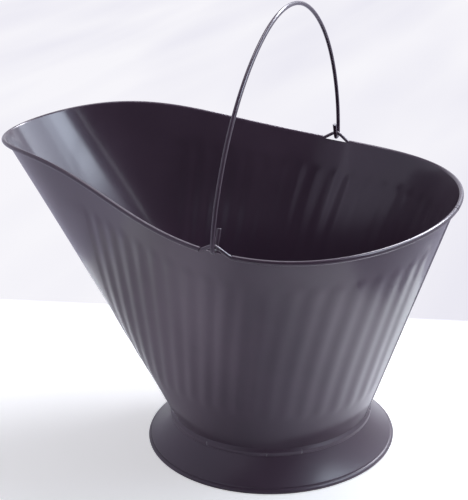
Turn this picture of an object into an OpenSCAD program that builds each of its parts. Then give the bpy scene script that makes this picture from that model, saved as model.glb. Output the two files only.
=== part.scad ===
// Coal scuttle: a hod with a pouring lip, for carrying coal to a stove and ash away from it.
// One ribbed body sheet is wrapped round, and its top edge is curled round a rim wire.
// A raised pan closes the bottom and a flared foot ring carries it. All three sheets meet in the waist seam.
// The wire handle, the bail, is hooked through two ears bent up from the rim wire and swings in them.
// Millimetres, +Z up. The origin is on the floor under the middle of the foot. The lip points to -X.

/* [Mouth outline, followed by the middle of the rim wire] */
// Middle of the outline along X
mouth_mid = -59.7; // [-66:0.1:-54]
// Half length of the outline, before the ends are drawn out
mouth_reach = 201.7; // [190:0.1:214]
// How far both ends are drawn towards the back
mouth_draw = 18.3; // [12:0.1:24]
// How far the back and the lip are pushed out to a point
lip_point = 12.2; // [8:0.1:16]
// Half width of the outline, before the shoulders are filled
mouth_half_w = 162.3; // [152:0.1:174]
// How far the widest place sits behind the middle
width_back = 34.2; // [28:0.1:40]
// How full the shoulders are
width_full = 17.1; // [12:0.1:22]

/* [Rim height] */
// Mean height of the rim wire above the floor
rim_h = 267; // [255:1:280]
// Rise of the lip over the mean height, and drop of the back below it
lip_rise = 26.6; // [20:0.1:33]
// Dip of the rim behind the ears and swell before them
rim_wave = 7; // [3:0.1:10]
// Drop of the lip and of the back against the sides
rim_ends_drop = 1.3; // [0:0.1:3]

/* [Sheet and seams] */
// Thickness of the body, pan and foot sheets
sheet = 0.6; // [0.5:0.05:0.8]
// Outer radius of the upright band at the waist
waist_r = 94.4; // [88:0.1:100]
// Height where the three sheets meet in the waist seam
seam_z = 27.9; // [24:0.1:34]
// Radius of the rolled bead round the waist seam
seam_bead_r = 2.6; // [2.3:0.1:3]
// Height of the upright band above the seam
band_h = 2.7; // [2.5:0.1:4]
// Width of the body and pan flanges held in the seam
flange_w = 2.4; // [2:0.1:2.6]

/* [Ribs] */
// Number of ribs on each side
rib_count = 20; // [16:1:21]
// Angle of the rib next to the back, at the waist
rib_first = 10.3; // [8:0.1:11.5]
// Angle between ribs at the waist
rib_pitch = 8; // [7.6:0.1:8]
// Outline angle of the rib next to the back, at the rib tops
rib_top_first = 10; // [8:0.1:12]
// Outline angle between ribs at the rib tops, at the back
rib_top_pitch = 4.64; // [4.3:0.01:4.9]
// How much that angle grows from rib to rib towards the lip
rib_top_growth = 0.045; // [0.02:0.001:0.06]
// How far the ribs stand out of the wall
rib_h = 0.7; // [0.5:0.1:1.5]
// Half width of a rib, as a share of the rib pitch
rib_half = 0.32; // [0.2:0.01:0.34]
// Share of the wall's height where the ribs begin
rib_low = 0.17; // [0.1:0.01:0.25]
// Share of the wall's height where the ribs end
rib_high = 0.88; // [0.8:0.01:0.92]
// Share of the wall's height over which a rib rises at each end
rib_fade = 0.06; // [0.03:0.01:0.08]

/* [Rim wire and ears] */
// Radius of the rim wire
rim_wire_r = 1.6; // [1.3:0.05:1.8]
// Clearance of the rim wire in the curl
wire_gap = 0.05; // [0.03:0.01:0.1]
// How far the sheet is curled round the wire
curl_turn = 285; // [240:5:290]
// Place of the ears along X
ear_x = 15.3; // [6:0.1:22]
// Half length of the notch in the curl at each ear
notch_half = 13.8; // [13.6:0.1:16]
// Depth by which the notch is cut below the curl
notch_drop = 0.6; // [0.6:0.1:3]
// Half length of an ear at its foot
ear_half = 12.8; // [10.5:0.1:13]
// Rise of the wire's middle at the top of an ear
ear_rise = 7.5; // [7:0.1:9]
// How far the top of an ear leans outwards, in line with the wall
ear_out = 2.3; // [1.5:0.1:3]

/* [Bail] */
// Radius of the bail wire
bail_wire_r = 1.88; // [1.6:0.01:2]
// Height of the bail's top over its hinge axis
bail_h = 162.7; // [150:0.1:175]
// Height of the hinge axis over the rim wire's middle
hinge_rise = 3; // [2.6:0.05:3.4]
// Distance between a hook's leg and its tail
hook_w = 9; // [8.6:0.1:10]
// Bend radius of a hook
hook_bend = 3; // [2.5:0.1:3.5]
// Height of the tail's end over the hinge axis
tail_h = 15.5; // [10:0.1:20]
// Lean of the tail towards the inside
tail_lean = 25; // [15:1:30]
// Inward lean of the bail where it leaves the hooks
leg_lean = 6.3; // [4:0.1:8]
// Radius of the bail's arch from there on
arch_side_r = 150; // [140:1:160]
// Lean of the bail at the end of that first stretch
arch_side_turn = 22; // [18:1:26]
// Turn of the flatter stretch after it
arch_haunch_turn = 46; // [40:1:50]
// Backward lean of the bail as it stands
bail_lean = 2.2; // [0:0.1:4]

/* [Pan and foot] */
// Height of the pan's floor over the seam
pan_rise = 5; // [3:0.1:8]
// Clearance between the pan's side and the body
pan_gap = 0.1; // [0.08:0.01:0.15]
// Outer radius of the foot
foot_r = 118.8; // [108:0.1:128]
// Radius of the rolled hem under the foot
hem_r = 1.9; // [1.6:0.1:2.4]
// Depth by which the hem is flattened where it stands
hem_flat = 0.3; // [0.2:0.05:0.5]

/* [Hidden] */

$fn = 96;
body_colour = [0.24, 0.23, 0.26];
wire_colour = [0.30, 0.29, 0.32];
pan_colour = [0.20, 0.19, 0.21];
foot_colour = [0.22, 0.21, 0.24];
bail_colour = [0.33, 0.32, 0.35];

back_steps = 3;
front_steps = 10;
rib_steps = 3;
curl_steps = 6;
wire_sides = 8;
notch_steps = 14;
eps = 0.01;

curl_r = (rim_wire_r + wire_gap) / cos(curl_turn / curl_steps / 2);
rib_from = rib_low + rib_fade;
rib_to = rib_high - rib_fade;
rib_rows = concat([rib_low], [for (i = [0:rib_steps]) rib_from + (rib_to - rib_from) * i / rib_steps], [rib_high]);
wall_l = rim_h - seam_z;
notch_v = 1 - notch_drop / wall_l;
wall_rows = concat([0], rib_rows, [notch_v, 1]);
wall_count = len(wall_rows) + 2;
loop_count = 2 * (wall_count + curl_steps);
half_turn = 180;
quarter_turn = 90;
// Where the flare leaves the bead, below its inner side
flare_start = 58;
rib_end = 1 + (half_turn - rib_first) / rib_pitch;

// ---- vectors

function unit(v) = v / norm(v);
function reversed(list) = [for (i = [len(list) - 1:-1:0]) list[i]];
function sorted(list) = len(list) < 2 ? list : let (pivot = list[0]) concat(
    sorted([for (value = list) if (value < pivot) value]),
    [for (value = list) if (value == pivot) value],
    sorted([for (value = list) if (value > pivot) value])
);

// ---- rim outline: u runs round it from the back (0) by +Y to the lip (180)

function rim_x(u) = mouth_mid + mouth_reach * cos(u) + mouth_draw * cos(2 * u) + lip_point * cos(3 * u);
function rim_y(u) = mouth_half_w * sin(u) + width_back * sin(2 * u) + width_full * sin(3 * u);
function rim_z(u) = rim_h - lip_rise * cos(u) - rim_ends_drop * cos(2 * u) + rim_wave * cos(3 * u);
function rim(u) = [rim_x(u), rim_y(u), rim_z(u)];

// Outline angle on one side where the rim wire is at a given x, found by halving the way from back to lip
halvings = 40;
function u_at(x, low = 0, high = half_turn, left = halvings) = let (mid = (low + high) / 2)
    left == 0 ? mid : rim_x(mid) > x ? u_at(x, mid, high, left - 1) : u_at(x, low, mid, left - 1);

// Rise of the wire above the outline: a V with a rounded top over each ear
ear_round = 0.2;
function vee(t) = (sqrt(1 + ear_round * ear_round) - sqrt(t * t + ear_round * ear_round))
    / (sqrt(1 + ear_round * ear_round) - ear_round);
function ear_lift(u) = let (t = abs(rim_x(u) - ear_x) / ear_half) t < 1 ? ear_rise * vee(t) : 0;
function wire_at(u) = let (lift = ear_lift(u)) rim(u) + [0, sign(u) * ear_out * lift / ear_rise, lift];

// Frames across the rim: along, outwards through the wall, and up the wall
function wall_up(u) = unit(rim(u) - waist_r * [cos(u), sin(u), 0] - [0, 0, seam_z + band_h]);
function rim_along(u) = unit(rim(u + 1) - rim(u - 1));
function rim_out(u) = unit(cross(rim_along(u), wall_up(u)));
function rim_top(u) = cross(rim_out(u), rim_along(u));
function wire_along(u) = unit(wire_at(u + 0.3) - wire_at(u - 0.3));
function wire_out(u) = let (a = wire_along(u), n = rim_out(u)) unit(n - (n * a) * a);

// ---- rib lines: s counts the ribs from the back, 1 being the first

function waist_angle(s) = sign(s) * (abs(s) < 1 ? rib_first * abs(s) : rib_first + rib_pitch * (abs(s) - 1));
function rib_top_angle(m) = rib_top_first + rib_top_pitch * m + rib_top_growth * m * m;
last_top_angle = rib_top_angle(rib_count - 1);
function front_angle(s) = last_top_angle + (half_turn - last_top_angle) * (s - rib_count) / (rib_end - rib_count);
function rim_angle(s) = let (c = abs(s))
    sign(s) * (c < 1 ? rib_top_first * c : c < rib_count ? rib_top_angle(c - 1) : front_angle(c));
// Rib count at an outline angle, the inverse of rim_angle on the ribbed part
function rib_at(u) = 1 + (sqrt(rib_top_pitch * rib_top_pitch + 4 * rib_top_growth * (u - rib_top_first))
    - rib_top_pitch) / (2 * rib_top_growth);
// A rib runs straight in the sheet, so its angle changes faster near the narrow waist
rib_straight = 1.55;
function rib_angle(s, v) = let (w = min(1, max(0, (v - rib_low) / (rib_high - rib_low))))
    (waist_angle(s) * (1 - w) + rim_angle(s) * rib_straight * w) / (1 - w + rib_straight * w);
function on_rib(s) = let (near = round(abs(s)))
    near < 1 || near > rib_count ? 0 : max(0, 1 - abs(abs(s) - near) / rib_half);
function rib_ends(v) = min(1, max(0, min(v - rib_low, rib_high - v) / rib_fade));

// Columns of the body: each rib's crest and feet, the smooth front, and the ends of the notches
notch_ends = [for (x = [ear_x + notch_half, ear_x - notch_half]) rib_at(u_at(x))];
back_columns = [for (i = [0:back_steps]) (1 - rib_half) * i / back_steps];
rib_columns = [for (rib = [1:rib_count], side = [-rib_half, 0, rib_half]) rib + side];
front_first = rib_count + rib_half;
front_columns = [for (i = [1:front_steps]) front_first + (rib_end - front_first) * i / front_steps];
half_columns = sorted(concat(back_columns, [for (i = [1:len(rib_columns) - 1]) rib_columns[i]], front_columns, notch_ends));
far_columns = [for (i = [len(half_columns) - 2:-1:1]) -half_columns[i]];
columns = concat(half_columns, far_columns);

// ---- body sheet

function ring_point(r, angle, z) = [r * cos(angle), r * sin(angle), z];
// Point on the wall, v from the band (0) to the rim (1), with depth counted into the sheet
function wall_point(s, v, depth) = let (
    u = rib_angle(s, v),
    low = ring_point(waist_r - depth, u, seam_z + band_h),
    high = rim(u) - (curl_r + depth) * rim_out(u)
) low * (1 - v) + high * v + rib_h * on_rib(s) * rib_ends(v) * rim_out(u);
function curl_point(s, turn, r) = let (u = rim_angle(s))
    rim(u) + r * (sin(turn) * rim_top(u) - cos(turn) * rim_out(u));

// One closed section of the sheet: up the outside, round inside the curl, back over it and down
function face_up(s, depth) = concat(
    [ring_point(waist_r + flange_w, waist_angle(s), seam_z + sheet - depth)],
    [ring_point(waist_r - depth, waist_angle(s), seam_z + sheet - depth)],
    [for (v = wall_rows) wall_point(s, v, depth)]
);
function curl_up(s, r) = [for (i = [1:curl_steps]) curl_point(s, curl_turn * i / curl_steps, r)];
function body_section(s) = concat(
    face_up(s, 0),
    curl_up(s, curl_r),
    reversed(curl_up(s, curl_r + sheet)),
    reversed(face_up(s, sheet))
);

function in_notch(a, b) = let (x = (rim_x(rim_angle(a)) + rim_x(rim_angle(b))) / 2) abs(x - ear_x) < notch_half;
function quad(a, b, c, d) = [[a, b, c], [a, c, d]];
function flat(lists) = [for (list = lists) each list];

module body() {
    count = len(columns);
    edges = [for (i = [0:count - 1]) in_notch(columns[i], columns[(i + 1) % count])];
    points = [for (s = columns) each body_section(s)];
    // Faces between column i and the next one: the whole loop, or only the wall below a notch
    notch_row = wall_count - 2;
    wall_edges = concat([for (j = [0:notch_row - 1]) j], [for (j = [loop_count - 1 - notch_row:loop_count - 1]) j]);
    skin = flat([for (i = [0:count - 1], j = edges[i] ? wall_edges : [0:loop_count - 1]) let (
        a = i * loop_count,
        b = ((i + 1) % count) * loop_count,
        k = (j + 1) % loop_count
    ) quad(a + j, a + k, b + k, b + j)]);
    // The cut edge of the wall along a notch
    notch_edge = flat([for (i = [0:count - 1]) if (edges[i]) let (
        a = i * loop_count,
        b = ((i + 1) % count) * loop_count,
        k = loop_count - 1 - notch_row
    ) quad(a + notch_row, a + k, b + k, b + notch_row)]);
    // The cut ends of the curl at both ends of a notch
    curl_ends = flat([
        for (i = [0:count - 1]) let (before = edges[(i + count - 1) % count])
            if (before != edges[i]) each [for (j = [notch_row:notch_row + curl_steps]) let (
                a = i * loop_count + j,
                b = i * loop_count + loop_count - 1 - j
            ) edges[i] ? quad(a, b, b - 1, a + 1) : quad(a, a + 1, b - 1, b)]
    ]);
    color(body_colour)
        polyhedron(points, concat(skin, notch_edge, curl_ends));
}

// ---- rim wire

module rim_wire() {
    ear_from = rib_at(u_at(ear_x + notch_half));
    ear_to = rib_at(u_at(ear_x - notch_half));
    ear_columns = [for (i = [1:notch_steps - 1]) ear_from + (ear_to - ear_from) * i / notch_steps];
    half = sorted(concat([for (s = half_columns) if (s <= ear_from + eps || s >= ear_to - eps) s], ear_columns));
    path = concat(half, [for (i = [len(half) - 2:-1:1]) -half[i]]);
    count = len(path);
    function ring(u) = let (out = wire_out(u), up = cross(out, wire_along(u)))
        [for (i = [0:wire_sides - 1]) wire_at(u)
            + rim_wire_r * (cos(360 * i / wire_sides) * out + sin(360 * i / wire_sides) * up)];
    points = [for (s = path) each ring(rim_angle(s))];
    faces = flat([for (i = [0:count - 1], j = [0:wire_sides - 1]) let (
        a = i * wire_sides,
        b = ((i + 1) % count) * wire_sides,
        k = (j + 1) % wire_sides
    ) quad(a + j, b + j, b + k, a + k)]);
    color(wire_colour)
        polyhedron(points, faces);
}

// ---- bottom pan: a raised floor, an upright side inside the body's band, and a flange in the seam

module bottom_pan() {
    side_r = waist_r - sheet - pan_gap;
    floor_z = seam_z + pan_rise;
    color(pan_colour)
        rotate_extrude()
            union() {
                translate([0, floor_z - sheet])
                    square([side_r, sheet]);
                translate([side_r - sheet, seam_z - sheet])
                    square([sheet, pan_rise + sheet]);
                translate([side_r - sheet, seam_z - sheet])
                    square([waist_r + flange_w - side_r + sheet, sheet]);
            }
}

// ---- foot ring: a flared skirt with a rolled hem below and the rolled seam bead above

module foot_ring() {
    bead_mid_r = waist_r + sheet;
    hem_mid = [foot_r - hem_r, hem_r - hem_flat];
    // The flare runs from the lower part of the bead to the top of the hem, and is a little hollow
    flare_dip = 1.2;
    flare_top = [bead_mid_r, seam_z] - seam_bead_r * [cos(flare_start), sin(flare_start)];
    flare_foot = hem_mid + [0, hem_r - sheet];
    along = unit(flare_foot - flare_top);
    across = [along[1], -along[0]];
    flare_mid = (flare_top + flare_foot) / 2 + flare_dip * across;
    thick = -sheet * across;
    color(foot_colour)
        rotate_extrude()
            difference() {
                union() {
                    translate([bead_mid_r, seam_z])
                        circle(r = seam_bead_r);
                    polygon([flare_top, flare_mid, flare_foot, flare_foot + thick, flare_mid + thick, flare_top + thick]);
                    translate(hem_mid)
                        circle(r = hem_r);
                }
                // The slot that holds the body and pan flanges
                translate([0, seam_z - sheet])
                    square([waist_r + flange_w + pan_gap, 2 * sheet]);
                // Room for the body's upright band and the pan's side
                translate([0, seam_z])
                    square([waist_r + pan_gap, 2 * seam_bead_r]);
                translate([0, seam_z - 2 * seam_bead_r])
                    square([waist_r - 2 * sheet, 2 * seam_bead_r]);
                // The hem is flattened where it stands on the floor
                translate([0, -2 * hem_r])
                    square([2 * foot_r, 2 * hem_r]);
            }
}

// ---- bail: an arch of five arcs with a hook at each end, turned about the hinge axis along Y

ear_u = u_at(ear_x);
hinge_z = rim_z(ear_u) + hinge_rise;
leg_y = rim_y(ear_u) + ear_out + hook_w / 2;
tail_y = leg_y - hook_w;
hook_out = [leg_y - hook_bend, hook_bend];
hook_in = [tail_y + hook_bend, hook_bend];
side_mid = hook_out + (hook_bend - arch_side_r) * [cos(leg_lean), sin(leg_lean)];
// The two larger radii of the arch follow from its height and half width
turn_a = arch_side_turn;
turn_b = arch_side_turn + arch_haunch_turn;
arch_w = side_mid[0] + arch_side_r * cos(turn_a);
arch_h = bail_h - side_mid[1] - arch_side_r * sin(turn_a);
haunch_w = cos(turn_a) - cos(turn_b);
haunch_h = sin(turn_b) - sin(turn_a);
crown_w = cos(turn_b);
crown_h = 1 - sin(turn_b);
arch_det = haunch_w * crown_h - crown_w * haunch_h;
haunch_r = (arch_w * crown_h - crown_w * arch_h) / arch_det;
crown_r = (haunch_w * arch_h - arch_w * haunch_h) / arch_det;
haunch_mid = side_mid + (arch_side_r - haunch_r) * [cos(turn_a), sin(turn_a)];
crown_mid = haunch_mid + (haunch_r - crown_r) * [cos(turn_b), sin(turn_b)];
// Pieces of the wire stop just short of each other, and a ball a little wider than the wire joins them
join_gap = 0.1;
join_r = bail_wire_r + 0.03;

module wire_join(at) {
    translate([0, at[0], at[1]])
        sphere(r = join_r);
}

// Wire bent in the YZ plane round mid, from one angle through a turn
module wire_bend(mid, bend_r, from, turn) {
    short = join_gap / bend_r * 180 / PI;
    translate([0, mid[0], mid[1]])
        rotate([90, 0, 90])
            rotate([0, 0, from + short])
                rotate_extrude(angle = turn - 2 * short)
                    translate([bend_r, 0])
                        circle(r = bail_wire_r);
}

module bail_half() {
    tail_foot = hook_in - hook_bend * [cos(tail_lean), sin(tail_lean)];
    // Sides of the arch
    wire_join(haunch_mid + haunch_r * [cos(turn_b), sin(turn_b)]);
    wire_bend(haunch_mid, haunch_r, turn_a, turn_b - turn_a);
    wire_join(side_mid + arch_side_r * [cos(turn_a), sin(turn_a)]);
    wire_bend(side_mid, arch_side_r, leg_lean, turn_a - leg_lean);
    wire_join(hook_out + hook_bend * [cos(leg_lean), sin(leg_lean)]);
    // Bend outside the ear
    wire_bend(hook_out, hook_bend, -quarter_turn, quarter_turn + leg_lean);
    wire_join([leg_y - hook_bend, 0]);
    // Pin, through the ear
    translate([0, tail_y + hook_bend + join_gap, 0])
        rotate([-90, 0, 0])
            cylinder(r = bail_wire_r, h = hook_w - 2 * hook_bend - 2 * join_gap);
    wire_join([tail_y + hook_bend, 0]);
    // Bend inside the ear, and the tail leaning in
    wire_bend(hook_in, hook_bend, half_turn + tail_lean, quarter_turn - tail_lean);
    wire_join(tail_foot);
    translate([0, tail_foot[0], tail_foot[1]])
        rotate([tail_lean, 0, 0])
            translate([0, 0, join_gap])
                cylinder(r = bail_wire_r, h = (tail_h - tail_foot[1]) / cos(tail_lean) - join_gap);
}

module bail() {
    color(bail_colour)
        translate([ear_x, 0, hinge_z])
            rotate([0, bail_lean, 0])
                union() {
                    wire_bend(crown_mid, crown_r, turn_b, half_turn - 2 * turn_b);
                    bail_half();
                    mirror([0, 1, 0])
                        bail_half();
                }
}

body();
rim_wire();
bottom_pan();
foot_ring();
bail();
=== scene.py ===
import bpy
import numpy as np
from mathutils import Matrix


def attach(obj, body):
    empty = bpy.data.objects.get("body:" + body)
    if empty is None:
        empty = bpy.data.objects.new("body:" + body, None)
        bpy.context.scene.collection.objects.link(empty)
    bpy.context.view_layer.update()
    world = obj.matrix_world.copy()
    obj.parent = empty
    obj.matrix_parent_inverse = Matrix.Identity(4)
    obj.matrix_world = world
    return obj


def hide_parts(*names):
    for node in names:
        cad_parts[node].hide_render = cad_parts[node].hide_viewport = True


# Black steel coal scuttle on a white table, with a pale cloth behind. Pieces are worked out in millimetres,
# which turn to metres as a mesh is made. Lamps and the patterns of paint, table and cloth are in metres.
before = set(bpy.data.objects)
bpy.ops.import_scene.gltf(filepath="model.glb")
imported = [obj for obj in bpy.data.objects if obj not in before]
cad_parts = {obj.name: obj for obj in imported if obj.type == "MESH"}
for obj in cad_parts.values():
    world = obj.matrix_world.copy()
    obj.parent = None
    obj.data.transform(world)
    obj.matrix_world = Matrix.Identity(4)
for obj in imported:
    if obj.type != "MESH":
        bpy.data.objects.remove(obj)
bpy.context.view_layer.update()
scene = bpy.context.scene
mm = 0.001
print("frame loaded:", ", ".join(sorted(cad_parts)))


# Quads between neighbours of a grid whose points are numbered row by row, closed round where asked
def gridQuads(rows, columns, closeRows=False, closeColumns=False):
    r = np.arange(rows if closeRows else rows - 1)[:, None]
    c = np.arange(columns if closeColumns else columns - 1)[None, :]
    rNext = (r + 1) % rows
    cNext = (c + 1) % columns
    return np.stack([r * columns + c, r * columns + cNext, rNext * columns + cNext, rNext * columns + c], -1)


# A finished piece from whole arrays: points in millimetres, lists of point numbers, and at each point two
# shares from 0 to 1: wear of an edge, and depth inside, where the sprayed paint is thin and dull
def makePiece(name, points, faceArrays, wear, sharpAngle=40, deep=None):
    mesh = bpy.data.meshes.new(name)
    faces = [face for array in faceArrays for face in array.reshape(-1, array.shape[-1]).tolist()]
    mesh.from_pydata((points * mm).tolist(), [], faces)
    mesh.shade_smooth()
    mesh.set_sharp_from_angle(angle=np.radians(sharpAngle))
    mesh.attributes.new("wear", "FLOAT", "POINT").data.foreach_set("value", wear.astype(np.float32))
    if deep is not None:
        mesh.attributes.new("deep", "FLOAT", "POINT").data.foreach_set("value", deep.astype(np.float32))
    piece = bpy.data.objects.new(name, mesh)
    scene.collection.objects.link(piece)
    return piece


# Paints a piece, puts it on its body, and shows it in place of the CAD nodes that it stands for
def settle(piece, body, slotName, material, *nodes):
    piece.data.materials.append(material)
    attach(piece, body)
    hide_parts(*nodes)
    print("made", piece.name, len(piece.data.polygons), "faces")


# Smooth step from 0 to 1 between two values: 3t^2 - 2t^3
def smoothStep(low, high, value):
    t = np.clip((value - low) / (high - low), 0, 1)
    return t * t * (3 - 2 * t)


# Vectors divided by their lengths
def unit(vectors):
    return vectors / np.linalg.norm(vectors, axis=-1, keepdims=True)


# Satin black spray paint. Sizes of its patterns are in metres; a range is where a noise turns from off to on
paint = {
    "dark": (0.055, 0.031, 0.050), "light": (0.076, 0.045, 0.069),  # two tones of one black with a plum cast
    "cloudSize": 0.09, "cloudDetail": 4.0, "cloudRange": (0.30, 0.72),
    "dust": (0.15, 0.14, 0.15), "speckSize": 0.0024, "speckDetail": 3.0, "speckRange": (0.62, 0.80),
    "steel": (0.45, 0.44, 0.45), "rubSize": 0.0016, "rubDetail": 3.0, "rubRange": (0.38, 0.55),
    "grainSize": 0.0010, "grainDetail": 2.0, "grainDepth": 0.000006,
    "wavesSize": 0.035, "wavesDetail": 1.0, "wavesDepth": 0.00006,
    "roughness": (0.285, 0.355), "roughRange": (0.3, 0.7),
    "shine": (0.88, 0.87, 1.0), "shineLevel": 0.45, "coat": 0.95, "coatRoughness": 0.14,
    "deepTone": 1.15, "deepShine": 0.5,  # deep inside, the paint is flat, with less shine and no gloss coat
}


# A shader node: each value goes to the setting or else the socket of its name, each link to a socket
def node(tree, kind, links=None, **values):
    made = tree.nodes.new(kind)
    for key, value in values.items():
        if hasattr(made, key):
            setattr(made, key, value)
        else:
            made.inputs[key].default_value = value
    for key, source in (links or {}).items():
        tree.links.new(source, made.inputs[key])
    return made


# Colour that turns evenly from one to another while a value goes from low to high
def ramp(tree, source, low, high, lowColour, highColour):
    made = node(tree, "ShaderNodeValToRGB", {"Fac": source})
    made.color_ramp.elements[0].position = low
    made.color_ramp.elements[1].position = high
    made.color_ramp.elements[0].color = (*lowColour, 1)
    made.color_ramp.elements[1].color = (*highColour, 1)
    return made.outputs["Color"]


# Mask from 0 to a share while a value goes from low to high
def mask(tree, source, span, share=1):
    return ramp(tree, source, *span, (0, 0, 0), (share,) * 3)


# Noise of one feature size, 0 to 1
def noise(tree, place, size, detail):
    return node(tree, "ShaderNodeTexNoise", {"Vector": place}, Scale=1 / size, Detail=detail).outputs["Fac"]


# Value that goes evenly from low to high while another goes over a span
def spread(tree, source, low, high, span=(0.0, 1.0)):
    made = node(tree, "ShaderNodeMapRange", {"Value": source})
    made.inputs["From Min"].default_value = span[0]
    made.inputs["From Max"].default_value = span[1]
    made.inputs["To Min"].default_value = low
    made.inputs["To Max"].default_value = high
    return made.outputs["Result"]


# Colour painted over another where a mask is high
def paintOver(tree, under, colour, where):
    made = node(tree, "ShaderNodeMix", {"Factor": where, "A": under}, data_type="RGBA")
    made.inputs["B"].default_value = (*colour, 1)
    return made.outputs["Result"]


# One operation on two values, of which each is a socket or a number
def sums(tree, operation, first, second):
    made = node(tree, "ShaderNodeMath", operation=operation)
    for socket, value in zip(made.inputs, (first, second)):
        if isinstance(value, (int, float)):
            socket.default_value = value
        else:
            tree.links.new(value, socket)
    return made.outputs[0]


# Satin black paint over steel: clouded tone and gloss, fine spray grain, soft waves, dust, and bare steel
# where edges rub
def satinBlack(name, dustAmount=0.06, wearAmount=0.3, tone=1.0, blur=0.0):
    material = bpy.data.materials.new(name)
    material.use_nodes = True
    tree = material.node_tree
    shader = tree.nodes["Principled BSDF"]
    place = node(tree, "ShaderNodeTexCoord").outputs["Object"]
    wear = node(tree, "ShaderNodeAttribute", attribute_name="wear").outputs["Fac"]
    deep = node(tree, "ShaderNodeAttribute", attribute_name="deep").outputs["Fac"]
    clouds = noise(tree, place, paint["cloudSize"], paint["cloudDetail"])
    specks = noise(tree, place, paint["speckSize"], paint["speckDetail"])
    rubs = noise(tree, place, paint["rubSize"], paint["rubDetail"])
    waves = noise(tree, place, paint["wavesSize"], paint["wavesDetail"])
    grain = noise(tree, place, paint["grainSize"], paint["grainDetail"])

    dark = tuple(c * tone for c in paint["dark"])
    light = tuple(c * tone for c in paint["light"])
    black = ramp(tree, clouds, *paint["cloudRange"], dark, light)
    dusty = paintOver(tree, black, paint["dust"], mask(tree, specks, paint["speckRange"], dustAmount))
    # Rubbed where the wear attribute and a broken noise are both high
    rubbed = sums(tree, "MULTIPLY", wear, rubs)
    worn = paintOver(tree, dusty, paint["steel"], mask(tree, rubbed, paint["rubRange"], wearAmount))
    deepBlack = tuple(c * paint["deepTone"] for c in paint["dark"])
    rough, rougher = (value + blur for value in paint["roughness"])
    shine = spread(tree, deep, paint["shineLevel"], paint["shineLevel"] * paint["deepShine"])
    softBump = node(tree, "ShaderNodeBump", {"Height": waves}, Strength=1.0, Distance=paint["wavesDepth"])
    bump = node(tree, "ShaderNodeBump", {"Height": grain, "Normal": softBump.outputs["Normal"]},
                Strength=1.0, Distance=paint["grainDepth"])

    tree.links.new(paintOver(tree, worn, deepBlack, deep), shader.inputs["Base Color"])
    tree.links.new(spread(tree, clouds, rough, rougher, paint["roughRange"]), shader.inputs["Roughness"])
    tree.links.new(shine, shader.inputs["Specular IOR Level"])
    tree.links.new(spread(tree, deep, paint["coat"], 0), shader.inputs["Coat Weight"])
    tree.links.new(bump.outputs["Normal"], shader.inputs["Normal"])
    shader.inputs["Specular Tint"].default_value = (*paint["shine"], 1)
    shader.inputs["Coat Roughness"].default_value = paint["coatRoughness"] + blur
    return material


# Outline of the mouth, shared by the body sheet, the rim wire and the bail
mouth = {
    "middle": -59.7, "reach": 201.7, "draw": 18.3, "point": 12.2,  # along X
    "halfWidth": 162.3, "widthBack": 34.2, "widthFull": 17.1,      # along Y
    "height": 267.0, "lipRise": 26.6, "endsDrop": 1.3, "wave": 7.0,
    "wireRadius": 1.6, "wireGap": 0.03, "slopeStep": 1e-3, "halvings": 50,
    "earX": 15.3, "notchHalf": 13.8,
    "earHalf": 12.8, "earRise": 7.5, "earOut": 2.3, "earRound": 2.4, "earEase": 0.05,
}


# Middle of the rim wire, u from 0 at the back by +Y to pi at the lip: sums of cosines in x and z, and of
# sines in y
def rimLine(u):
    x = (mouth["middle"] + mouth["reach"] * np.cos(u)
         + mouth["draw"] * np.cos(2 * u) + mouth["point"] * np.cos(3 * u))
    y = (mouth["halfWidth"] * np.sin(u)
         + mouth["widthBack"] * np.sin(2 * u) + mouth["widthFull"] * np.sin(3 * u))
    z = (mouth["height"] - mouth["lipRise"] * np.cos(u)
         - mouth["endsDrop"] * np.cos(2 * u) + mouth["wave"] * np.cos(3 * u))
    return np.stack([x, y, z], -1)


# Direction of a line at u, from two points of it close on either side
def alongLine(line, u):
    return unit(line(u + mouth["slopeStep"]) - line(u - mouth["slopeStep"]))


# The u on the +Y side where the rim is at x, found by halving, since x falls from the back to the lip
def rimAngleAt(x):
    low, high = 0.0, np.pi
    for _ in range(mouth["halvings"]):
        middle = (low + high) / 2
        low, high = (middle, high) if rimLine(middle)[0] > x else (low, middle)
    return low


# Body sheet. A rib count s says where a column is: 0 at the back, 1 to 20 on the ribs, negative at -Y.
# v goes from 0 at the waist to 1 at the rim.
body = {
    "waistRadius": 94.4, "waistZ": 30.6, "flangeRadius": 96.2, "flangeZ": 28.5, "sheet": 0.55,
    "ribs": 20, "firstRib": 10.3, "ribPitch": 8.0,  # on each side, in degrees round the waist
    "firstRibTop": 10.0, "ribPitchTop": 4.64, "ribGrowthTop": 0.045,  # degrees of the outline
    "ribHeight": 0.6, "ribHalf": 0.5, "ribLow": 0.155, "ribHigh": 0.885, "ribFade": 0.05, "ribStraight": 1.55,
    "dentDepth": 0.35, "dentWaves": ((3.1, 4.0, 0.0), (7.3, -2.0, 1.0)),
    "seamAt": -0.04, "seamHalf": 3.5, "seamSharp": (0.9, 0.4), "seamSoft": 1.4, "seamProud": 0.6,
    # Millimetres of sheet to one rib count at the waist, and how many more at the rim
    "seamScale": (17, 32),
    "seamEnd": (0.95, 0.985), "seamOnCurl": 0.1, "seamGroove": 2.6,
    "curlTurn": 300, "notchDrop": 0.6, "wallLength": 230,
    "perRib": 12, "frontColumns": 44, "seamColumns": 80, "seamReach": 0.32, "lookupSteps": 20001,
    "wallRows": 56, "rowCrowd": 0.045, "curlRows": 16, "sharpAngle": 35,
    "ribWear": 0.3, "rimWear": 0.35,
    "deepBelow": (195, 145),  # heights between which the paint inside turns dull
}
ribEnd = 1 + (180 - body["firstRib"]) / body["ribPitch"]  # rib count at the lip, where both sides meet


# Angle at the waist of rib count s, even from the first rib on
def waistAngle(s):
    c = np.abs(s)
    return np.sign(s) * np.where(c < 1, body["firstRib"] * c, body["firstRib"] + body["ribPitch"] * (c - 1))


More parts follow.
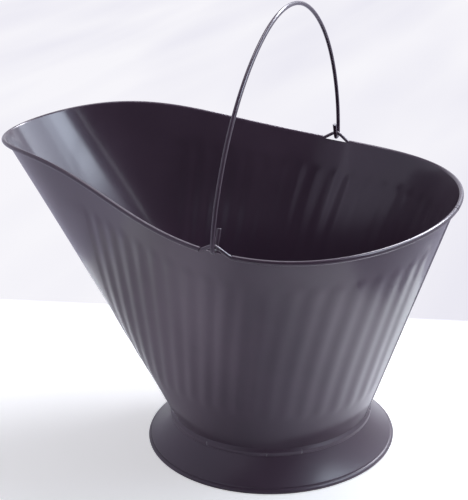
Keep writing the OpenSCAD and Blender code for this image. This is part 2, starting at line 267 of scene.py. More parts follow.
# Outline angle at the rib tops: first + pitch m + growth m^2 with m = s - 1, then straight on to the lip
def topAngle(s):
    def overRibs(m):
        return body["firstRibTop"] + body["ribPitchTop"] * m + body["ribGrowthTop"] * m * m

    c = np.abs(s)
    last = overRibs(body["ribs"] - 1)
    front = last + (180 - last) * (c - body["ribs"]) / (ribEnd - body["ribs"])
    overBack = body["firstRibTop"] * c
    return np.sign(s) * np.where(c < 1, overBack, np.where(c < body["ribs"], overRibs(c - 1), front))


# A rib is straight in the sheet, so its angle runs ahead near the waist: a weighted mean of both ends' angles
def ribAngle(s, v):
    w = np.clip((v - body["ribLow"]) / (body["ribHigh"] - body["ribLow"]), 0, 1)
    q = body["ribStraight"]
    return np.radians((waistAngle(s) * (1 - w) + topAngle(s) * q * w) / (1 - w + q * w))


# Height of the ribs over the wall: a raised cosine of the distance from the rib's line, whose ends are round
def ribBump(s, v):
    near = np.round(np.abs(s))
    across = (np.abs(s) - near) / body["ribHalf"]
    fade = body["ribFade"]
    past = np.maximum(body["ribLow"] + fade - v, v - body["ribHigh"] + fade) / fade
    away = np.clip(np.hypot(across, np.maximum(past, 0)), 0, 1)
    there = (near >= 1) & (near <= body["ribs"])
    return np.where(there, 0.5 + 0.5 * np.cos(np.pi * away), 0) * body["ribHeight"]


# Lock seam at the back, 0 to 1: a flat strip with one sharp and one soft side, in millimetres along the sheet
def seamStrip(s, v):
    atWaist, growth = body["seamScale"]
    off = (s - body["seamAt"]) * (atWaist + growth * v)
    half = body["seamHalf"]
    outer, inner = body["seamSharp"]
    sharpSide = smoothStep(-half - outer, -half + inner, off)
    return sharpSide * (1 - smoothStep(half - body["seamSoft"], half, off))


# Slight dents of the wall: a product of two waves that run askew, fading towards waist and rim
def dents(u, v):
    (aroundA, upA, shiftA), (aroundB, upB, shiftB) = body["dentWaves"]
    waves = np.sin(aroundA * u + upA * v + shiftA) * np.sin(aroundB * u + upB * v + shiftB)
    return body["dentDepth"] * waves * np.sin(np.pi * v)


# Frame across the rim at u: outwards through the wall, and up the wall
def rimFrame(u):
    waist = body["waistRadius"]
    below = np.stack([waist * np.cos(u), waist * np.sin(u), 0 * u + body["waistZ"]], -1)
    along = alongLine(rimLine, u)
    out = unit(np.cross(along, unit(rimLine(u) - below)))
    return out, np.cross(out, along)


# Wall point: on the straight line from the waist (v = 0) to the rim's inner side (v = 1), moved outwards by
# ribs, dents and seam
def wallPoint(s, v, depth):
    u = ribAngle(s, v)
    out, _ = rimFrame(u)
    waist = body["waistRadius"] - depth
    low = np.stack([waist * np.cos(u), waist * np.sin(u), 0 * u + body["waistZ"]], -1)
    high = rimLine(u) - (mouth["wireRadius"] + mouth["wireGap"] + depth) * out
    seam = seamStrip(s, v) * (1 - smoothStep(*body["seamEnd"], v)) * body["seamProud"] * (depth == 0)
    share = v[..., None]
    return low * (1 - share) + high * share + (ribBump(s, v) + dents(u, v) + seam)[..., None] * out


# Columns as rib counts: fine over ribs, front and seam, with one at each end of the notches
def sheetColumns():
    steps = body["perRib"]
    reach = body["ribs"] + 0.5
    ribbed = np.arange(-steps * reach, steps * reach + 1) / steps
    front = np.linspace(reach, ribEnd, body["frontColumns"] // 2 + 1)[1:]
    notchU = [rimAngleAt(mouth["earX"] + side * mouth["notchHalf"]) for side in (1, -1)]
    # Rib counts at the notch ends, read off the outline angles of the rib tops
    counts = np.linspace(0, ribEnd, body["lookupSteps"])
    notchS = np.interp(np.degrees(notchU), topAngle(counts), counts)
    seam = body["seamAt"] + np.linspace(-body["seamReach"], body["seamReach"], body["seamColumns"] + 1)
    return np.unique(np.concatenate([ribbed, front, -front[:-1], notchS, -notchS, seam]))


# One side of the sheet: two rings of its flange in the waist seam, then the wall's rows from waist to rim
def wallSide(s, v, depth):
    angle = np.radians(waistAngle(s))
    level = 0 * angle + body["flangeZ"] - depth
    flange = [np.stack([r * np.cos(angle), r * np.sin(angle), level], -1)
              for r in (body["flangeRadius"], body["waistRadius"] - depth)]
    return np.concatenate(flange + [wallPoint(s + 0 * v, v + 0 * s, depth)])


# Rings of the curl: the wire's middle + radius (sin t up - cos t out), with t turning from the wall on
def curlSide(s, turns, radius):
    u = ribAngle(s, 1.0) + 0 * turns
    out, up = rimFrame(u)
    return rimLine(u) + radius[..., None] * (np.sin(turns)[..., None] * up - np.cos(turns)[..., None] * out)


# Faces of the sheet. In a notch it stops at its cut edge: rows of the curl go, and the edge is closed over
def sheetFaces(rowCount, columnCount, notchRow, notched):
    row = np.arange(rowCount)
    curled = (row >= notchRow) & (row < rowCount - 1 - notchRow)
    keep = ~(curled[:, None] & notched[None, :])
    number = np.arange(rowCount * columnCount).reshape(rowCount, columnCount)
    a = np.flatnonzero(notched)
    b = (a + 1) % columnCount
    top, under = number[notchRow], number[rowCount - 1 - notchRow]
    edge = np.stack([top[a], top[b], under[b], under[a]], -1)
    # Where a notch begins or ends, the cut end of the curl is closed from its inner to its outer side
    first = np.flatnonzero(notched & ~np.roll(notched, 1))
    last = (np.flatnonzero(notched & ~np.roll(notched, -1)) + 1) % columnCount
    j = np.arange(notchRow, notchRow + body["curlRows"] + 1)
    ends = []
    for cutColumns, order in ((first, -1), (last, 1)):
        for c in cutColumns:
            corners = [number[level, c] for level in (j, j + 1, rowCount - 2 - j, rowCount - 1 - j)]
            ends.append(np.stack(corners, -1)[:, ::order])
    quads = gridQuads(rowCount, columnCount, closeRows=True, closeColumns=True)
    return [quads[keep], edge] + ends


# Body: one closed sheet. Each column goes up outside, round inside the curl, back over it, and down inside
def buildBody():
    columns = sheetColumns()
    s = columns[None, :]
    rows = np.linspace(0, 1, body["wallRows"])
    v = (rows - body["rowCrowd"] * np.sin(2 * np.pi * rows))[:, None]  # rows crowd towards waist and rim
    v[-2] = 1 - body["notchDrop"] / body["wallLength"]
    turns = np.radians(np.linspace(0, body["curlTurn"], body["curlRows"] + 1)[1:, None])
    inner = mouth["wireRadius"] + mouth["wireGap"] + 0 * s
    # Where the back seam crosses the curl, a groove runs along each of its sides
    strip = seamStrip(s, 1.0)
    sides = strip * (1 - strip)
    outer = inner + body["sheet"] + body["seamOnCurl"] * strip - body["seamGroove"] * sides
    outside, inside = wallSide(s, v, 0.0), wallSide(s, v, body["sheet"])
    grid = np.concatenate([outside, curlSide(s, turns, inner), curlSide(s, turns, outer)[::-1], inside[::-1]])

    rowCount, columnCount = grid.shape[:2]
    wall = len(outside)
    x = rimLine(ribAngle(columns, 1.0))[:, 0]
    notched = np.abs((x + np.roll(x, -1)) / 2 - mouth["earX"]) < mouth["notchHalf"]
    faces = sheetFaces(rowCount, columnCount, wall - 2, notched)

    # Ribs and rim are rubbed; low inside, and in the grooves over the curl, the paint is dull
    height = np.concatenate([[0, 0], v[:, 0], np.ones(2 * len(turns)), v[::-1, 0], [0, 0]])[:, None]
    ribShare = ribBump(s + 0 * height, height + 0 * s) / body["ribHeight"]
    wear = np.maximum(body["ribWear"] * ribShare, (height == 1) * body["rimWear"] + 0 * s)
    row = np.arange(rowCount)[:, None]
    deepFrom, deepTo = body["deepBelow"]
    deepInside = smoothStep(-deepFrom, -deepTo, -grid[..., 2]) * (row >= rowCount - wall)
    deepGrooves = 4 * sides * ((row >= wall) & (row < rowCount - wall))
    deep = np.maximum(deepInside, deepGrooves)
    return makePiece("bodySheet", grid.reshape(-1, 3), faces, wear.ravel(), body["sharpAngle"], deep.ravel())


settle(buildBody(), "scuttle", "body", satinBlack("bodyPaint"), "body")


# Tube of round section along a path: middle + radius (cos a side + sin a up), closed round or with flat caps
def tube(path, side, up, radius, sides, closed):
    a = np.linspace(0, 2 * np.pi, sides, endpoint=False)
    ring = np.cos(a)[None, :, None] * side[:, None] + np.sin(a)[None, :, None] * up[:, None]
    points = path[:, None] + np.reshape(radius, (-1, 1, 1)) * ring
    faces = [gridQuads(len(path), sides, closeRows=closed, closeColumns=True)[..., ::-1]]
    if not closed:
        last = (len(path) - 1) * sides
        faces += [np.arange(sides)[None, :], last + np.arange(sides)[None, ::-1]]
    return points.reshape(-1, 3), faces


# Points of the rim wire stand every 0.8 degrees, and closer within 16 mm of the middle of an ear
rimWire = {"spacing": 0.8, "earReach": 16, "earPoints": 90, "sides": 18}


# Rise of the wire at an ear: a hyperbola with straight legs, eased to nothing at its feet
def earLift(x):
    d = np.abs(x - mouth["earX"])
    half, bend, ease = mouth["earHalf"], mouth["earRound"], mouth["earEase"]
    vee = (np.hypot(half, bend) - np.hypot(d, bend)) / (np.hypot(half, bend) - bend)
    return mouth["earRise"] * 0.5 * (vee + np.hypot(vee, ease) - ease)


# Middle of the wire with its ears: the rim's line, raised and leant outwards there
def earLine(u):
    lift = earLift(rimLine(u)[..., 0])
    lean = mouth["earOut"] / mouth["earRise"]
    return rimLine(u) + np.stack([0 * u, np.sign(u) * lean * lift, lift], -1)


# Rim wire: a closed tube along the line of the rim and its two ears, worn on the ears
def buildRimWire():
    first, last = (rimAngleAt(mouth["earX"] + side * rimWire["earReach"]) for side in (1, -1))
    ear = np.linspace(first, last, rimWire["earPoints"])
    u = np.unique(np.concatenate([np.radians(np.arange(-180, 180, rimWire["spacing"])), ear, -ear]))
    along = alongLine(earLine, u)
    out, _ = rimFrame(u)
    side = unit(out - (out * along).sum(-1, keepdims=True) * along)
    points, faces = tube(earLine(u), side, np.cross(side, along), mouth["wireRadius"], rimWire["sides"], True)
    wear = np.clip(earLift(rimLine(u)[:, 0]) / mouth["earRise"], 0, 1)
    return makePiece("rimWire", points, faces, np.repeat(wear, rimWire["sides"]))


settle(buildRimWire(), "scuttle", "rim_wire", satinBlack("rimWirePaint"), "rim_wire")

bail = {
    "wireRadius": 1.87, "height": 162.7, "hingeRise": 3.0, "hookWidth": 9.0, "hookBend": 3.0,
    "tailHeight": 15.5, "tailLean": 25, "legLean": 6.3, "sideRadius": 150.0, "sideTurn": 22, "haunchTurn": 46,
    "lean": 2.2, "spacing": 1.4, "hookSpacing": 0.35, "hookLongest": 9, "chamfer": 0.35, "sides": 20,
    "hookTop": 6, "hookWear": 0.7, "endWear": 1.6,  # rubbed below the hooks' top and at the cut ends
}


# Unit vector of a heading in a flat path's plane
def headed(angle):
    return np.array([np.cos(angle), np.sin(angle)])


# Stretch of a flat path: straight, or an arc whose heading grows evenly; gives its points and headings
def stretch(start, heading, length, curvature, spacing):
    t = np.linspace(0, length, max(3, int(length / spacing)))[:, None]
    turned = heading + curvature * t
    if curvature == 0:
        return start + t * headed(heading), turned[:, 0]
    along = np.concatenate([np.sin(turned) - np.sin(heading), np.cos(heading) - np.cos(turned)], 1)
    return start + along / curvature, turned[:, 0]


# Half of the bail in its own plane, across and up from the hinge: tail, hook, leg and arch up to the top
def halfBail(earY):
    bend, sideR = bail["hookBend"], bail["sideRadius"]
    legY = earY + mouth["earOut"] + bail["hookWidth"] / 2
    leg, a, tail = np.radians([bail["legLean"], bail["sideTurn"], bail["tailLean"]])
    b = a + np.radians(bail["haunchTurn"])
    sideMiddle = np.array([legY - bend, bend]) + (bend - sideR) * headed(leg)
    # The two larger radii solve: haunch and crown together span what is left of the half width and the height
    spans = [[np.cos(a) - np.cos(b), np.cos(b)], [np.sin(b) - np.sin(a), 1 - np.sin(b)]]
    left = [sideMiddle[0] + sideR * np.cos(a), bail["height"] - sideMiddle[1] - sideR * np.sin(a)]
    haunch, crown = np.linalg.solve(spans, left)
    straight = (bail["tailHeight"] - bend * (1 - np.sin(tail))) / np.cos(tail)
    inside = np.array([legY - bail["hookWidth"] + bend, bend])
    point = inside - bend * headed(tail) + straight * headed(tail + np.pi / 2)
    heading = tail - np.pi / 2
    points, headings = [], []
    # Length and curvature of each stretch: tail, bend, pin, bend, side, haunch, crown
    for length, curvature in ((straight, 0), (bend * (np.pi / 2 - tail), 1 / bend),
                              (bail["hookWidth"] - 2 * bend, 0), (bend * (np.pi / 2 + leg), 1 / bend),
                              (sideR * (a - leg), 1 / sideR), (haunch * (b - a), 1 / haunch),
                              (crown * (np.pi / 2 - b), 1 / crown)):
        spacing = bail["hookSpacing"] if length < bail["hookLongest"] else bail["spacing"]
        some, turns = stretch(point, heading, length, curvature, spacing)
        points.append(some[:-1])
        headings.append(turns[:-1])
        point, heading = some[-1], turns[-1]
    return np.concatenate(points + [[point]]), np.concatenate(headings + [[heading]])


# Bail: a tube along the half path and its mirror image, with chamfered ends, leant back about the hinge
def buildBail():
    ear = rimLine(rimAngleAt(mouth["earX"]))
    hinge = np.array([mouth["earX"], 0, ear[2] + bail["hingeRise"]])
    half, turn = halfBail(ear[1])
    # The cut end is chamfered: its last ring is smaller
    half = np.insert(half, 1, half[0] + bail["chamfer"] * headed(turn[0]), axis=0)
    turn = np.insert(turn, 1, turn[0])
    flat = np.concatenate([half, (half * [-1, 1])[-2::-1]])
    turn = np.concatenate([turn, 2 * np.pi - turn[-2::-1]])
    lean = np.radians(bail["lean"])
    back = np.array([np.cos(lean), 0, -np.sin(lean)])
    upright = np.array([np.sin(lean), 0, np.cos(lean)])
    path = hinge + flat[:, :1] * [0, 1, 0] + flat[:, 1:] * upright
    across = -np.sin(turn)[:, None] * [0, 1, 0] + np.cos(turn)[:, None] * upright
    atEnd = np.arange(len(path)) % (len(path) - 1) == 0
    radius = bail["wireRadius"] - bail["chamfer"] * atEnd
    points, faces = tube(path, np.broadcast_to(back, path.shape), across, radius, bail["sides"], False)
    wear = bail["hookWear"] * (flat[:, 1] < bail["hookTop"]) + bail["endWear"] * atEnd
    return makePiece("bailWire", points, faces, np.repeat(wear, bail["sides"]))


settle(buildBail(), "bail", "bail", satinBlack("bailPaint", wearAmount=0.5), "bail")


# Arc of a profile: middle + radius (cos, sin) from one angle to another, in degrees
def arc(middle, radius, start, stop, count):
    a = np.radians(np.linspace(start, stop, count))
    return np.stack([middle[0] + radius * np.cos(a), middle[1] + radius * np.sin(a)], -1)


# Surface of turning: each profile point (r, z) carried round the Z axis
def turnedGrid(profile, count):
    a = np.linspace(0, 2 * np.pi, count, endpoint=False)[:, None]
    r, z = profile[None, :, 0], profile[None, :, 1]
    return np.stack([r * np.cos(a), r * np.sin(a), z + 0 * a], -1), a


foot = {
    "outerRadius": 118.8, "hemRadius": 1.9, "hemFlat": 0.3,
    "hemFrom": 62, "hemTo": -180, "hemPoints": 26, "hemSeen": 16,  # its first 16 points face outwards
    "seamZ": 27.9, "flareThick": 0.96, "dip": 1.2, "flarePoints": 30, "groovePoints": 13,
    "bandTuck": (0.35, 4.9), "bandOut": 2.8, "bandTop": 1.3, "bandLow": -1.0, "bandTurn": 50,
    "bandRoundTop": 1.45, "bandRoundLow": 1.0, "bandPointsTop": 8, "bandPointsLow": 7,
    "slotIn": 0.9, "slotOut": 0.04, "slotLow": 0.62, "slotHigh": 2.4,
    "crimps": (-108, -73, -54, 7.9, 60, 121, 171), "crimpDepth": 0.35, "crimpWidth": 0.8,
    "grooveAt": 0.945, "grooveHalf": 0.02, "grooveDepth": 0.55, "grooveSpan": (0.9, 0.99),
    "hemJoint": 0.4, "hemJointDepth": 0.5, "hemJointWidth": 0.5,
    "around": 720, "crimpWear": 0.9, "hemWear": 0.5, "sharpAngle": 50,
}


# Bell of the angle round Z about each place, 1 at a place: exp(-(distance / width)^2), all in degrees
def bells(a, places, width):
    turn = (a - np.radians(places) + np.pi) % (2 * np.pi) - np.pi
    return np.exp(-(np.degrees(np.abs(turn)).min(1, keepdims=True) / width) ** 2)


# Foot ring: band of the waist seam, hollow flare and rolled hem in one closed profile, nicked at the crimps
def buildFoot():
    waist, seamZ = body["waistRadius"], foot["seamZ"]
    bandR = waist + foot["bandOut"]
    topRound, lowRound, bandTurn = foot["bandRoundTop"], foot["bandRoundLow"], foot["bandTurn"]
    tuckOut, tuckUp = foot["bandTuck"]
    band = np.concatenate([
        [[waist + tuckOut, seamZ + tuckUp]],
        arc((bandR - topRound, seamZ + foot["bandTop"]), topRound, bandTurn, 0, foot["bandPointsTop"]),
        arc((bandR - lowRound, seamZ + foot["bandLow"]), lowRound, 0, -bandTurn, foot["bandPointsLow"])])
    hem = np.array([foot["outerRadius"] - foot["hemRadius"], foot["hemRadius"] - foot["hemFlat"]])
    hemArc = arc(hem, foot["hemRadius"], foot["hemFrom"], foot["hemTo"], foot["hemPoints"])
    # Outer face of the flare: straight from band to hem, hollowed by a parabola, with a groove above the hem
    even = np.linspace(0, 1, foot["flarePoints"])[1:-1]
    t = np.unique(np.concatenate([even, np.linspace(*foot["grooveSpan"], foot["groovePoints"])]))[:, None]
    top, low = band[-1], hemArc[0]
    across = unit(np.array([[low[1] - top[1], top[0] - low[0]]]))
    groove = foot["grooveDepth"] * np.exp(-((t - foot["grooveAt"]) / foot["grooveHalf"]) ** 2)
    flare = top * (1 - t) + low * t + (4 * foot["dip"] * t * (1 - t) + groove) * across
    hemArc[:, 1] = np.maximum(hemArc[:, 1], 0)
    inner = (flare + foot["flareThick"] * across)[::-1]
    # The slot that holds the flanges of body and pan opens inwards
    slotIn, slotOut = waist - foot["slotIn"], waist + foot["slotOut"]
    slotLow, slotHigh = seamZ - foot["slotLow"], seamZ + foot["slotHigh"]
    slot = np.array([[slotIn, slotLow], [slotOut, slotLow], [slotOut, slotHigh]])
    profile = np.concatenate([band, flare, hemArc, inner, slot])
    grid, a = turnedGrid(profile, foot["around"])
    number = np.arange(len(profile))
    onBand = (number > 0) & (number < len(band))
    hemFirst = len(band) + len(flare)
    onHem = (number >= hemFirst) & (number < hemFirst + foot["hemSeen"])
    # Crimps and the hem's joint step in
    crimp = bells(a, foot["crimps"], foot["crimpWidth"])
    joint = bells(a, [foot["hemJoint"]], foot["hemJointWidth"])
    shrink = crimp * onBand * foot["crimpDepth"] + joint * onHem * foot["hemJointDepth"]
    reach = np.linalg.norm(grid[..., :2], axis=-1, keepdims=True)
    grid[..., :2] *= 1 - shrink[..., None] / reach
    quads = gridQuads(*grid.shape[:2], closeRows=True, closeColumns=True)
    wear = np.maximum(foot["crimpWear"] * crimp * onBand, foot["hemWear"] * onHem + 0 * a)
    return makePiece("footRing", grid.reshape(-1, 3), [quads], wear.ravel(), foot["sharpAngle"])


settle(buildFoot(), "scuttle", "foot_ring",
       satinBlack("footPaint", wearAmount=0.5, tone=1.2, blur=0.16), "foot_ring")

pan = {
    "rise": 5.0, "gap": 0.1, "fillet": 1.6, "sheet": 0.6, "flangeTop": 0.03, "flangeUnder": 0.57,
    "middle": 2, "floorPoints": 24, "roundPoints": 8, "around": 240, "sharpAngle": 50,
}


# Bottom pan: raised floor, rounded edge, upright side and seam flange in one closed profile
def buildPan():
    side = body["waistRadius"] - pan["sheet"] - pan["gap"]
    floor = foot["seamZ"] + pan["rise"]
    above, under = foot["seamZ"] - pan["flangeTop"], foot["seamZ"] - pan["flangeUnder"]
    bend = (side - pan["fillet"], floor - pan["fillet"])
    roundOut = arc(bend, pan["fillet"], 90, 0, pan["roundPoints"])
    roundIn = arc(bend, pan["fillet"] - pan["sheet"], 0, 90, pan["roundPoints"])
    over = np.linspace(pan["middle"], bend[0] - pan["middle"], pan["floorPoints"])
    top = np.stack([over, floor + 0 * over], -1)
    edge = body["flangeRadius"]
    flange = [[side, above], [edge, above], [edge, under], [side - pan["sheet"], under]]
    profile = np.concatenate([top, roundOut, flange, roundIn, top[::-1] - [0, pan["sheet"]]])
    grid, _ = turnedGrid(profile, pan["around"])
    rows, columns = grid.shape[:2]
    points = np.concatenate([grid.reshape(-1, 3), [[0, 0, floor], [0, 0, floor - pan["sheet"]]]])
    quads = gridQuads(rows, columns, closeRows=True)
    # A fan of triangles closes the middle on both sides
    ring = np.arange(rows) * columns
    nextRing = np.roll(ring, -1)
    centre = rows * columns
    discTop = np.stack([ring, nextRing, 0 * ring + centre], -1)
    discUnder = np.stack([nextRing + columns - 1, ring + columns - 1, 0 * ring + centre + 1], -1)
    faces = [quads, discTop, discUnder]
    return makePiece("bottomPan", points, faces, np.zeros(len(points)), pan["sharpAngle"])


settle(buildPan(), "scuttle", "bottom_pan", satinBlack("panPaint", dustAmount=0.25), "bottom_pan")

# Camera at the photo's angle: place in millimetres, turns in degrees, lens and shift in pixels of the photo
camera = {
    "place": (352.69, -1009.85, 595.64), "azimuth": 20.96, "elevation": 20.91, "roll": -1.32,
    "focalPixels": 1238.0, "framePixels": 500, "sensor": 36.0, "shiftPixels": (0.01, 1.3),
}


# Camera axes: back along the view, right level with the floor, both turned by the roll
def placeCamera():
    a, e, roll = np.radians([camera["azimuth"], camera["elevation"], camera["roll"]])
    back = np.array([np.sin(a) * np.cos(e), -np.cos(a) * np.cos(e), np.sin(e)])
    right = np.array([np.cos(a), np.sin(a), 0])
    up = np.cross(back, right)
    rolledRight = right * np.cos(roll) + up * np.sin(roll)
    rolledUp = up * np.cos(roll) - right * np.sin(roll)
    axes = np.stack([rolledRight, rolledUp, back], 1)
    lens = bpy.data.cameras.new("photoCamera")
    lens.sensor_width = camera["sensor"]
    lens.lens = camera["focalPixels"] * camera["sensor"] / camera["framePixels"]
    lens.shift_x = -camera["shiftPixels"][0] / camera["framePixels"]
    lens.shift_y = camera["shiftPixels"][1] / camera["framePixels"]
    viewer = bpy.data.objects.new("photoCamera", lens)
    viewer.matrix_world = Matrix.Translation(np.array(camera["place"]) * mm) @ Matrix(axes.tolist()).to_4x4()
    scene.collection.objects.link(viewer)
    scene.camera = viewer


placeCamera()
print("camera placed")

# White table, with a pale cloth past its back edge. The disc is in millimetres, all else in metres.
studio = {
    "radius": 4200, "rings": 60, "firstRing": 20, "around": 96, "under": 0.15, "pole": 0.001,
    "table": (0.93, 0.925, 0.935), "tableDull": 0.975,
    "mottleSize": 1 / 14, "mottleDetail": 4.0, "mottleRange": (0.3, 0.6),
    "tableWhite": 0.49, "roughness": 0.9, "shineLevel": 0.2,
    "tableEdge": 0.279, "tableAway": (-0.192, 0.981, 0), "edgeSoft": 0.006,
    "tableMiddle": -0.07, "tableHalf": 0.33, "sideSoft": 0.02,
    # Cloth tones for the painted fold shading: the tone in the folds' shade, the lit tone, and the noise
    # range between them
    "cloth": (0.83, 0.82, 0.90), "clothLitFold": (0.93, 0.92, 0.965), "clothRange": (0.32, 0.62),
    "foldTurn": -21, "foldStretch": (1, 0.18, 1), "foldScale": 3.2, "foldDetail": 2.0, "foldBend": 0.6,
    "creaseScale": 9.0, "creaseShare": 0.2, "clothShine": (0.43, 0.42, 0.53),
    # Painted shade on the cloth: its middle, its tone, and the distances over which it fades out
    "shade": (0.62, 0.42, 0), "shadeTone": (0.93, 0.925, 0.95), "shadeNear": 0.1, "shadeFar": 0.8,
    # Painted pools of light on the table, seen only by shiny surfaces: middle, inner and outer radius, light
    "paintedPools": (((0.19, -0.03, 0), 0.05, 0.2, 0.3), ((-0.175, -0.165, 0), 0.05, 0.165, 0.36)),
    "poolTint": (1.0, 0.92, 1.1),
    "room": (0.90, 0.92, 1.0), "roomStrength": 0.035,
}


# Vector operation on a place and a fixed vector, as one value
def measure(tree, operation, place, fixed):
    made = node(tree, "ShaderNodeVectorMath", {0: place}, operation=operation)
    made.inputs[1].default_value = fixed
    return made.outputs["Value"]


# Where the ground is cloth, 0 to 1: past the back edge, and for shiny surfaces past the side edges too
def clothMask(tree, place, glossyRay):
    edge, soft = studio["tableEdge"], studio["edgeSoft"]
    beyond = measure(tree, "DOT_PRODUCT", place, studio["tableAway"])
    pastBack = mask(tree, beyond, (edge - soft, edge + soft))
    along = node(tree, "ShaderNodeSeparateXYZ", {"Vector": place}).outputs["X"]
    shifted = sums(tree, "SUBTRACT", along, studio["tableMiddle"])
    aside = node(tree, "ShaderNodeMath", {0: shifted}, operation="ABSOLUTE").outputs[0]
    half = studio["tableHalf"]
    pastSide = mask(tree, aside, (half, half + studio["sideSoft"]))
    return sums(tree, "MAXIMUM", pastBack, sums(tree, "MULTIPLY", pastSide, glossyRay))


# Cloth: wide folds run away from the viewer, so their noise is drawn out along Y; faint creases cross them.
# The light and shade of the folds and creases is painted into the cloth's colour
def clothColour(tree, place):
    drawn = node(tree, "ShaderNodeMapping", {"Vector": place})
    drawn.inputs["Rotation"].default_value = (0, 0, np.radians(studio["foldTurn"]))
    drawn.inputs["Scale"].default_value = studio["foldStretch"]
    flow = drawn.outputs["Vector"]
    folds = node(tree, "ShaderNodeTexNoise", {"Vector": flow}, Scale=studio["foldScale"],
                 Detail=studio["foldDetail"], Distortion=studio["foldBend"]).outputs["Fac"]
    creases = node(tree, "ShaderNodeTexVoronoi", {"Vector": flow}, Scale=studio["creaseScale"])
    foldShading = node(tree, "ShaderNodeMix", {"A": folds, "B": creases.outputs["Distance"]},
                    Factor=studio["creaseShare"]).outputs["Result"]
    # Painted fold shading: the colour runs from the shaded cloth tone to the lit fold tone
    even = ramp(tree, foldShading, *studio["clothRange"], studio["cloth"], studio["clothLitFold"])
    # Painted shade: the cloth is darker round one place behind the scuttle
    fromShade = measure(tree, "DISTANCE", place, studio["shade"])
    shade = ramp(tree, fromShade, studio["shadeNear"], studio["shadeFar"], studio["shadeTone"], (1, 1, 1))
    return node(tree, "ShaderNodeMix", {"A": even, "B": shade}, data_type="RGBA", blend_type="MULTIPLY",
                Factor=1).outputs["Result"]


# Extra light of the table: a steady lift where the viewer sees it, painted pools of light where shiny
# surfaces do
def tableGlow(tree, place, cameraRay, glossyRay):
    paintedPools = [ramp(tree, measure(tree, "DISTANCE", place, middle), inner, outer, (light,) * 3, (0, 0, 0))
               for middle, inner, outer, light in studio["paintedPools"]]
    poolLight = sums(tree, "MULTIPLY", glossyRay, sums(tree, "ADD", *paintedPools))
    lift = sums(tree, "ADD", sums(tree, "MULTIPLY", cameraRay, studio["tableWhite"]), poolLight)
    tint = node(tree, "ShaderNodeMix", {"Factor": cameraRay}, data_type="RGBA")
    tint.inputs["A"].default_value = (*studio["poolTint"], 1)
    tint.inputs["B"].default_value = (1, 1, 1, 1)
    return node(tree, "ShaderNodeEmission", {"Color": tint.outputs["Result"], "Strength": lift}).outputs[0]


# Cloth as it is seen, unlit: in its colour, with painted fold shading and painted shade, by the viewer, and
# darker by shiny surfaces, as the lamps would light it
def clothGlow(tree, cloth, cameraRay):
    shown = node(tree, "ShaderNodeMix", {"Factor": cameraRay, "B": cloth}, data_type="RGBA")
    shown.inputs["A"].default_value = (*studio["clothShine"], 1)
    return node(tree, "ShaderNodeEmission", {"Color": shown.outputs["Result"]}).outputs[0]


# One material for the ground: a faintly mottled white table, and the cloth past its edge
def tableAndCloth():
    material = bpy.data.materials.new("tableAndCloth")
    material.use_nodes = True
    tree = material.node_tree
    shader = tree.nodes["Principled BSDF"]
    place = node(tree, "ShaderNodeTexCoord").outputs["Object"]
    rays = node(tree, "ShaderNodeLightPath").outputs
    cameraRay, glossyRay = rays["Is Camera Ray"], rays["Is Glossy Ray"]
    isCloth = clothMask(tree, place, glossyRay)
    cloth = clothColour(tree, place)
    mottle = noise(tree, place, studio["mottleSize"], studio["mottleDetail"])
    dull = tuple(c * studio["tableDull"] for c in studio["table"])
    table = ramp(tree, mottle, *studio["mottleRange"], dull, studio["table"])
    colour = node(tree, "ShaderNodeMix", {"Factor": isCloth, "A": table, "B": cloth}, data_type="RGBA")
    tree.links.new(colour.outputs["Result"], shader.inputs["Base Color"])
    shader.inputs["Roughness"].default_value = studio["roughness"]
    shader.inputs["Specular IOR Level"].default_value = studio["shineLevel"]
    # Only the viewer and shiny surfaces see a glow; all else sees the lit shader alone
    lit = shader.outputs[0]
    seen = sums(tree, "MAXIMUM", cameraRay, glossyRay)
    white = tableGlow(tree, place, cameraRay, glossyRay)
    plain = clothGlow(tree, cloth, cameraRay)
    near = node(tree, "ShaderNodeAddShader", {0: lit, 1: white}).outputs[0]
    far = node(tree, "ShaderNodeMixShader", {0: seen, 1: lit, 2: plain}).outputs[0]
    surface = node(tree, "ShaderNodeMixShader", {0: isCloth, 1: near, 2: far}).outputs[0]
    tree.links.new(surface, tree.nodes["Material Output"].inputs["Surface"])
    return material


# Ground: one flat disc just under the foot
def buildGround():
    rings = np.linspace(studio["firstRing"], studio["radius"], studio["rings"])
    r = np.concatenate([[studio["pole"]], rings])
    grid, _ = turnedGrid(np.stack([r, 0 * r - studio["under"]], -1), studio["around"])
    quads = gridQuads(*grid.shape[:2], closeRows=True)
    ground = makePiece("ground", grid.reshape(-1, 3), [quads], np.zeros(grid.shape[0] * grid.shape[1]))
    ground.data.materials.append(tableAndCloth())


buildGround()

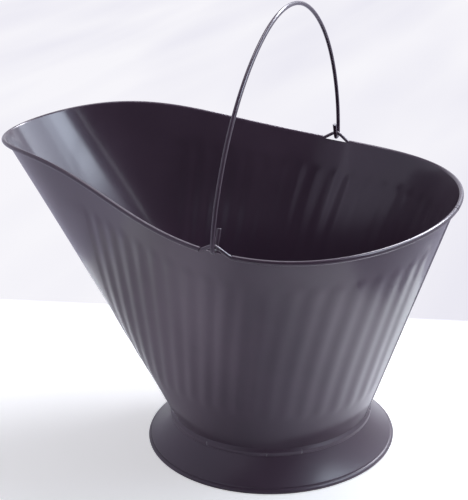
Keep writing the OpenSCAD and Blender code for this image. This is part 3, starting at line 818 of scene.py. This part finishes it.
# Windows and walls of the room. Each is a panel of light: its place in metres, the azimuth that it faces, its
# width and height, its brightness and colour, and for some a tilt in degrees.
day, haze, pale, plum = (0.78, 0.88, 1.0), (0.92, 0.92, 1.0), (0.95, 0.95, 1.0), (0.84, 0.82, 1.0)
panels = {
    "window": ((0.95, 0.14, 1.42), 180, 0.71, 1.04, 4.9, day),
    "windowPane": ((0.94, -0.01, 1.12), 180, 0.42, 0.4, 2.5, day),
    "windowRight": ((0.95, 1.4, 1.42), 180, 1.8, 1.04, 3.4, day),
    "clothBehind": ((-0.8, 2.4, 0.7), 291, 3.2, 1.6, 0.62, (0.88, 0.87, 1.0)),
    "windowFar": ((0.58, 2.47, 1.0), 252, 0.8, 1.0, 0.75, (0.80, 0.88, 1.0)),
    "backWindow": ((0.37, 2.10, 1.86), 260, 1.5, 0.78, 13.4, haze),
    "skylight": ((-0.65, 0.78, 2.45), 310, 1.0, 0.6, 4.0, haze, -65),
    "highWindow": ((0.52, 1.12, 2.62), 245, 1.4, 0.9, 10.7, (0.95, 0.96, 1.0), -63),
    "wallUnderWindow": ((0.97, 1.45, 0.45), 180, 3.4, 0.9, 0.6, (0.90, 0.93, 1.0)),
    "narrowWindow": ((1.0, -0.56, 1.0), 180, 0.06, 0.6, 2.4, (0.85, 0.90, 1.0)),
    "leftWall": ((-1.69, -0.62, 1.6), 20, 5.5, 3.2, 0.5, plum),
    "frontLeftWall": ((-0.3, -2.9, 2.3), 90, 1.4, 2.0, 0.3, plum),
    "ceiling": ((-0.6, 1.2, 2.6), 0, 3.0, 2.0, 0.6, pale, -90),
}
# Panels of the first list show in shiny surfaces and light nothing; that of the second only lights
onlyMirrored = ("clothBehind", "windowFar", "backWindow", "skylight")
onlyLights = ("highWindow",)


# Panel of light that faces an azimuth and an elevation; its watts are brightness x pi x area
def hangPanel(name, place, facing, width, height, brightness, colour, tilt=0):
    light = bpy.data.lights.new(name, "AREA")
    light.shape = "RECTANGLE"
    light.size = width
    light.size_y = height
    light.energy = brightness * np.pi * width * height
    light.color = colour
    made = bpy.data.objects.new(name, light)
    a, e = np.radians([facing, tilt])
    back = -np.array([np.cos(a) * np.cos(e), np.sin(a) * np.cos(e), np.sin(e)])
    right = np.array([np.sin(a), -np.cos(a), 0])
    axes = np.stack([right, np.cross(back, right), back], 1)
    made.matrix_world = Matrix.Translation(place) @ Matrix(axes.tolist()).to_4x4()
    made.visible_camera = False
    made.visible_diffuse = name not in onlyMirrored
    made.visible_glossy = name not in onlyLights
    scene.collection.objects.link(made)


for name, values in panels.items():
    hangPanel(name, *values)

world = bpy.data.worlds.new("room")
scene.world = world
world.use_nodes = True
world.node_tree.nodes["Background"].inputs["Color"].default_value = (*studio["room"], 1)
world.node_tree.nodes["Background"].inputs["Strength"].default_value = studio["roomStrength"]
scene.view_settings.view_transform = "Standard"
print("ground and lamps set")
